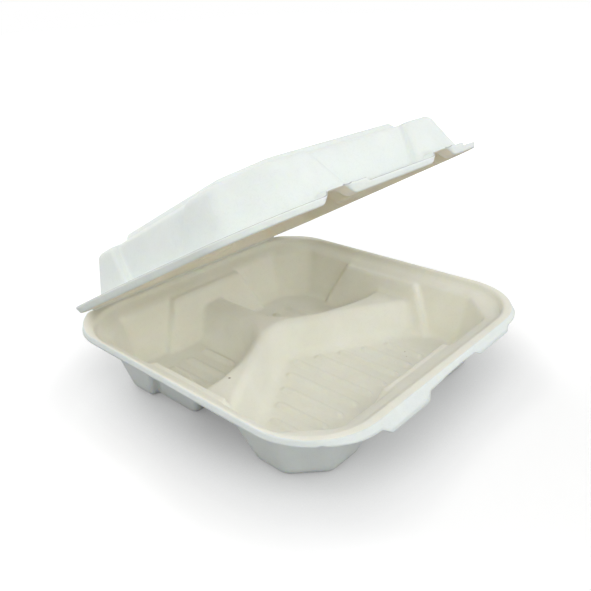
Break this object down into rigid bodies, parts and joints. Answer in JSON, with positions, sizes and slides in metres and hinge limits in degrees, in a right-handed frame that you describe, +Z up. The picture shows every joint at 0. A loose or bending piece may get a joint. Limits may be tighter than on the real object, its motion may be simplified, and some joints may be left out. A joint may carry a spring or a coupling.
{
  "type": "clamshell food container",
  "caption": "Square hinged food box of moulded plant fibre: a tray with a raised divider and ribbed floors, and a domed lid that folds over it and locks at the front.",
  "frame": {"origin": "middle of the tray's base, on the surface it stands on", "axes": "+X along the fold, +Y towards the fold at the back, +Z up"},
  "size_m": [0.2304, 0.2387, 0.1705],
  "materials": {
    "tray_fibre": "matte pressed fibre",
    "lid_fibre": "matte pressed fibre"
  },
  "bodies": {
    "tray": {"tray": "tray_fibre"},
    "lid": {"lid": "lid_fibre"}
  },
  "joints": [
    {"name": "lid_fold", "type": "hinge", "parent": "tray", "child": "lid", "pos_m": [0, 0.113, 0.04615], "axis": [-1, 0, 0], "range_deg": [-28.3, 150]}
  ]
}
